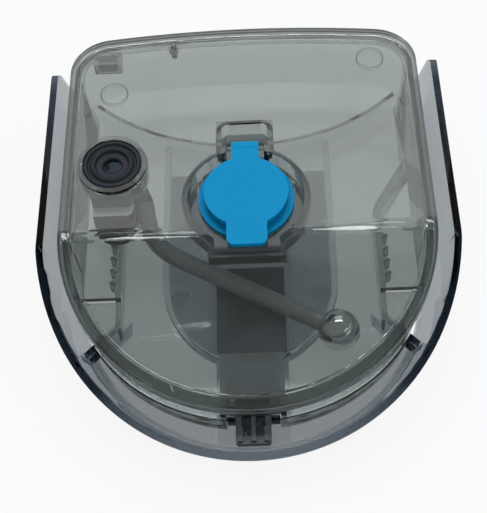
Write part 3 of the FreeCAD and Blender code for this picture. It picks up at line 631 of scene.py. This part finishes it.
def paint_cover(tree, colour, rough):
    """Painted shade on the front, pocket and rim, the ejector marks, and a painted highlight on rounded edges.
    """
    at = add_group(tree, place_mm)
    y = at.outputs["Y"]
    # Painted shade in front of the crease.
    colour = mix_colour(tree, step_up(tree, y, -7, -10), colour, front_shade_tint)
    colour = paint_pocket(tree, at, colour)
    front = product(tree, step_up(tree, oval(tree, at, rim_half_width, rim_reach, crease_y), 0.986, 0.989),
                    step_up(tree, y, -8, -9))
    outside = either(tree, rim_line(tree, at, 0.8, 1.1), front)
    # Painted shade on the rim, darker still along its outer line.
    rim = product(tree, rim_line(tree, at, rim_width, rim_width + 0.2), step_up(tree, y, -8, -7))
    colour = mix_colour(tree, rim, colour, rim_shade_tint)
    colour = mix_colour(tree, outside, colour, rim_line_shade_tint)
    for mark_x, mark_y in ejector_marks:
        off = math_node(tree, "SUBTRACT", away_from(tree, at, mark_x, mark_y), ejector_radius)
        ring = step_up(tree, math_node(tree, "ABSOLUTE", off), 0.22, 0.12)
        colour = mix_colour(tree, ring, colour, mark_tint)
    # Painted highlight: rounded edges are painted paler and made a little matt.
    up = at.outputs["Up"]
    edge = product(tree, step_up(tree, up, 0.15, 0.3), step_up(tree, up, 0.93, 0.88),
                   step_up(tree, at.outputs["Z"], cover_low, cover_low + 0.1),
                   math_node(tree, "SUBTRACT", 1, outside))
    rough = either(tree, rough, math_node(tree, "MULTIPLY", edge, 0.25))
    return mix_colour(tree, edge, colour, (1, 1, 1)), rough


cover_smoke = smoke_plastic("cover_plastic", (0.66, 0.69, 0.67), 0.02, (0.87, 0.885, 0.88), paint=paint_cover)
print("made", cover_smoke.name)

# %% [markdown]
# ## Solid finishes
# Silicone, rubber, dark plastic and steel are opaque. One helper makes them all from two
# near shades, a gloss and a fine grain, and three of them have painted places: painted
# highlights on the plug's paler edges and on the clip's paler upper face and white ledge line,
# and painted shade in the black slots of the press tab.

# %% Solid finish helper


def solid_finish(name, dark, light, roughness, cloud=40, grain=1500, bump=0.1, metal=0.0, shine=0.5,
                 paint=None):
    """An opaque finish with slight cloudiness and a fine grain."""
    material, tree, shader, _ = new_material(name)
    noise = add_noise(tree, cloud, grain)
    colour = mix_colour(tree, noise.outputs["Cloud"], dark, light)
    rough = spread(tree, noise.outputs["Grain"], 0.8 * roughness, 1.2 * roughness)
    if paint:
        colour, rough = paint(tree, colour, rough)
    tree.links.new(colour, shader.inputs["Base Color"])
    tree.links.new(rough, shader.inputs["Roughness"])
    shader.inputs["Metallic"].default_value = metal
    shader.inputs["Specular IOR Level"].default_value = shine
    if bump > 0:
        add_bump(tree, shader, noise.outputs["Grain"], bump, 0.0001)
    return material


# %% Clip, plug and press tab
clip_ledge = 30.05
slider_body_y = -47
slot_inner_x, slot_outer_x = 0.7, 3.8
slot_front_y, slot_rear_y = -69.7, -62.1
slot_low, slot_high = 12.5, 14.2


def paint_clip(tree, colour, rough):
    """The clip's lower box is dark; its upper face is painted paler as painted light, and the rim of its ledge
    nearly white as a painted highlight.
    """
    at = add_group(tree, place_mm)
    # Painted light on the clip's upper face.
    upper = step_up(tree, at.outputs["Z"], clip_ledge, clip_ledge + 0.2)
    colour = mix_colour(tree, upper, colour, (0.115, 0.135, 0.15))
    # A painted highlight along the rim of the ledge.
    rim = product(tree, band(tree, at.outputs["Z"], clip_ledge - 0.45, clip_ledge + 0.05),
                  step_up(tree, at.outputs["Up"], 0.1, 0.2))
    return mix_colour(tree, rim, colour, (0.62, 0.66, 0.68)), rough


def paint_plug(tree, colour, rough):
    """Rounded silicone edges are painted paler blue, a painted highlight."""
    tilt = add_group(tree, place_mm).outputs["Up"]
    # Painted highlight: the tilted faces of the rounded edges are painted paler blue.
    return mix_colour(tree, band(tree, tilt, 0.25, 0.85), colour, (0.03, 0.42, 0.72)), rough


def paint_slider(tree, colour, rough):
    """The slider's tab has two slots painted black as painted shade, and its body is darker than its arm."""
    at = add_group(tree, place_mm)
    body = step_up(tree, at.outputs["Y"], slider_body_y, slider_body_y - 2)
    colour = mix_colour(tree, body, colour, (0.034, 0.041, 0.053))
    # Painted shade: the tab's slots are painted black.
    slots = product(tree, band(tree, sideways(tree, at), slot_inner_x, slot_outer_x),
                    band(tree, at.outputs["Y"], slot_front_y, slot_rear_y),
                    band(tree, at.outputs["Z"], slot_low, slot_high))
    return mix_colour(tree, slots, colour, (0.004, 0.004, 0.006)), rough


# %% Finishes of the small pieces
dark_smoke = smoke_plastic("dark_smoke_plastic", (0.20, 0.235, 0.265), 0.05, (0.75, 0.78, 0.80))
clip_grey = solid_finish("clip_plastic", (0.030, 0.037, 0.046), (0.042, 0.050, 0.060), 0.3, bump=0.0, shine=0.3,
                         paint=paint_clip)
blue = solid_finish("blue_silicone", (0.0, 0.29, 0.60), (0.0, 0.31, 0.64), 0.5, bump=0.03, shine=0.1,
                    paint=paint_plug)
rubber = solid_finish("black_rubber", (0.014, 0.017, 0.026), (0.022, 0.026, 0.036), 0.42, shine=0.2)
dark_plastic = solid_finish("dark_plastic", (0.030, 0.036, 0.045), (0.045, 0.053, 0.064), 0.3, bump=0.0)
hose_finish = solid_finish("grey_hose", (0.20, 0.22, 0.23), (0.27, 0.29, 0.30), 0.3)
steel = solid_finish("polished_steel", (0.70, 0.71, 0.705), (0.76, 0.77, 0.765), 0.04, metal=1.0, bump=0.0)
arm_grey = solid_finish("latch_plastic", (0.10, 0.125, 0.155), (0.30, 0.335, 0.37), 0.3, cloud=110, bump=0.0,
                        shine=0.2, paint=paint_slider)
spring_steel = solid_finish("spring_steel", (0.45, 0.45, 0.45), (0.6, 0.6, 0.6), 0.3, metal=1.0)
magnet_finish = solid_finish("magnet", (0.10, 0.10, 0.11), (0.16, 0.16, 0.17), 0.35, metal=1.0)
print("materials:", len(bpy.data.materials))

# %% [markdown]
# ## Dressing the frame
# The moulded pieces keep their CAD shape. Real mouldings have no sharp edge: a small
# round on every edge catches a line of light, and in clear plastic that line is what
# shows where the edge is.

# %% Rounded edges


def dress(node, material, edge_round, crease_angle=32):
    """Gives a CAD node its material and a small round on its sharp edges."""
    obj = nodes[node]
    for slot in obj.material_slots:
        slot.material = material
    weld = obj.modifiers.new("weld", "WELD")
    weld.merge_threshold = 0.00001
    if edge_round > 0:
        bevel = obj.modifiers.new("edge_round", "BEVEL")
        bevel.width = edge_round * MM
        bevel.segments = 2
        bevel.limit_method = "ANGLE"
        bevel.angle_limit = math.radians(crease_angle)
        bevel.harden_normals = True
        bevel.use_clamp_overlap = True


for node, material, edge_round in (
        ("outer_shell", shell_smoke, 0.35), ("tank_tub", smoke, 0.3), ("top_cover", cover_smoke, 0.3),
        ("filler_plug", blue, 0.45), ("outlet_seal", rubber, 0.12), ("outlet_fitting", dark_smoke, 0.2),
        ("outlet_ring", rubber, 0), ("outlet_clip", clip_grey, 0.25), ("pickup_weight", steel, 0.15),
        ("latch_slider", arm_grey, 0.15), ("latch_cover", dark_plastic, 0.15),
        ("latch_spring", spring_steel, 0), ("sensor_magnet", magnet_finish, 0.1),
        ("vent_valve", rubber, 0)):
    dress(node, material, edge_round)
hose.data.materials.append(hose_finish)
for slot in nodes["pickup_hose"].material_slots:
    slot.material = hose_finish
print("dressed:", len(nodes))

# %% [markdown]
# ## Studio
# The photograph has a white ground. The floor is pale and takes the tank's shadow; to
# the camera, and through plastic and in metal, part of it is plain white.

# %% Floor
floor_white = 0.88
floor_white_in_plastic = 0.55

bpy.ops.mesh.primitive_plane_add(size=6, location=(0, 0, -0.0002))
floor = bpy.context.object
floor.name = "floor"
floor_material, tree, shader, output = new_material("floor")
shader.inputs["Base Color"].default_value = (0.85, 0.85, 0.85, 1)
shader.inputs["Roughness"].default_value = 0.9
glow = tree.nodes.new("ShaderNodeEmission")
glow.inputs["Strength"].default_value = 1.0
rays = tree.nodes.new("ShaderNodeLightPath")
straight = math_node(tree, "MULTIPLY", rays.outputs["Is Camera Ray"], floor_white)
through = either(tree, rays.outputs["Is Glossy Ray"], rays.outputs["Is Transmission Ray"])
share = either(tree, straight, math_node(tree, "MULTIPLY", through, floor_white_in_plastic))
mix = tree.nodes.new("ShaderNodeMixShader")
tree.links.new(share, mix.inputs["Fac"])
tree.links.new(shader.outputs["BSDF"], mix.inputs[1])
tree.links.new(glow.outputs["Emission"], mix.inputs[2])
tree.links.new(mix.outputs["Shader"], output.inputs["Surface"])
floor.data.materials.append(floor_material)
print("floor:", floor.name)

# %% World
world_level = 0.5

world = bpy.data.worlds.new("studio")
scene.world = world
world.use_nodes = True
world.node_tree.nodes["Background"].inputs["Color"].default_value = (1, 1, 1, 1)
world.node_tree.nodes["Background"].inputs["Strength"].default_value = world_level
print("world level:", world_level)

# %% [markdown]
# ## Lamps
# One narrow lamp stands where the bent crease of the cover mirrors it to the camera, and
# gives the white line there. A wide panel behind it is mirrored by the whole level rear
# of the cover, which makes that part paler than the front. A soft lamp fills the front.

# %% Lamps


def softbox(name, place, aim, size, power):
    """A rectangular lamp that faces a point."""
    lamp = bpy.data.lights.new(name, "AREA")
    lamp.shape = "RECTANGLE"
    lamp.size, lamp.size_y = size
    lamp.energy = power
    obj = bpy.data.objects.new(name, lamp)
    scene.collection.objects.link(obj)
    obj.location = place
    obj.rotation_euler = (Vector(aim) - Vector(place)).to_track_quat("-Z", "Y").to_euler()
    return obj


softbox("crease_lamp", (0, 0.33, 0.9), (0, -0.008, 0.038), (0.6, 0.12), 2.4)
softbox("rear_panel", (0, 0.79, 0.92), (0, 0.06, 0.038), (0.7, 0.362), 1.15)
softbox("fill_lamp", (0.7, -0.5, 0.6), (0, 0, 0.02), (0.5, 0.5), 1.2)

# %% View
scene.view_settings.view_transform = "Standard"
scene.cycles.max_bounces = 24
scene.cycles.transmission_bounces = 24
scene.cycles.transparent_max_bounces = 48
print("view:", scene.view_settings.view_transform)
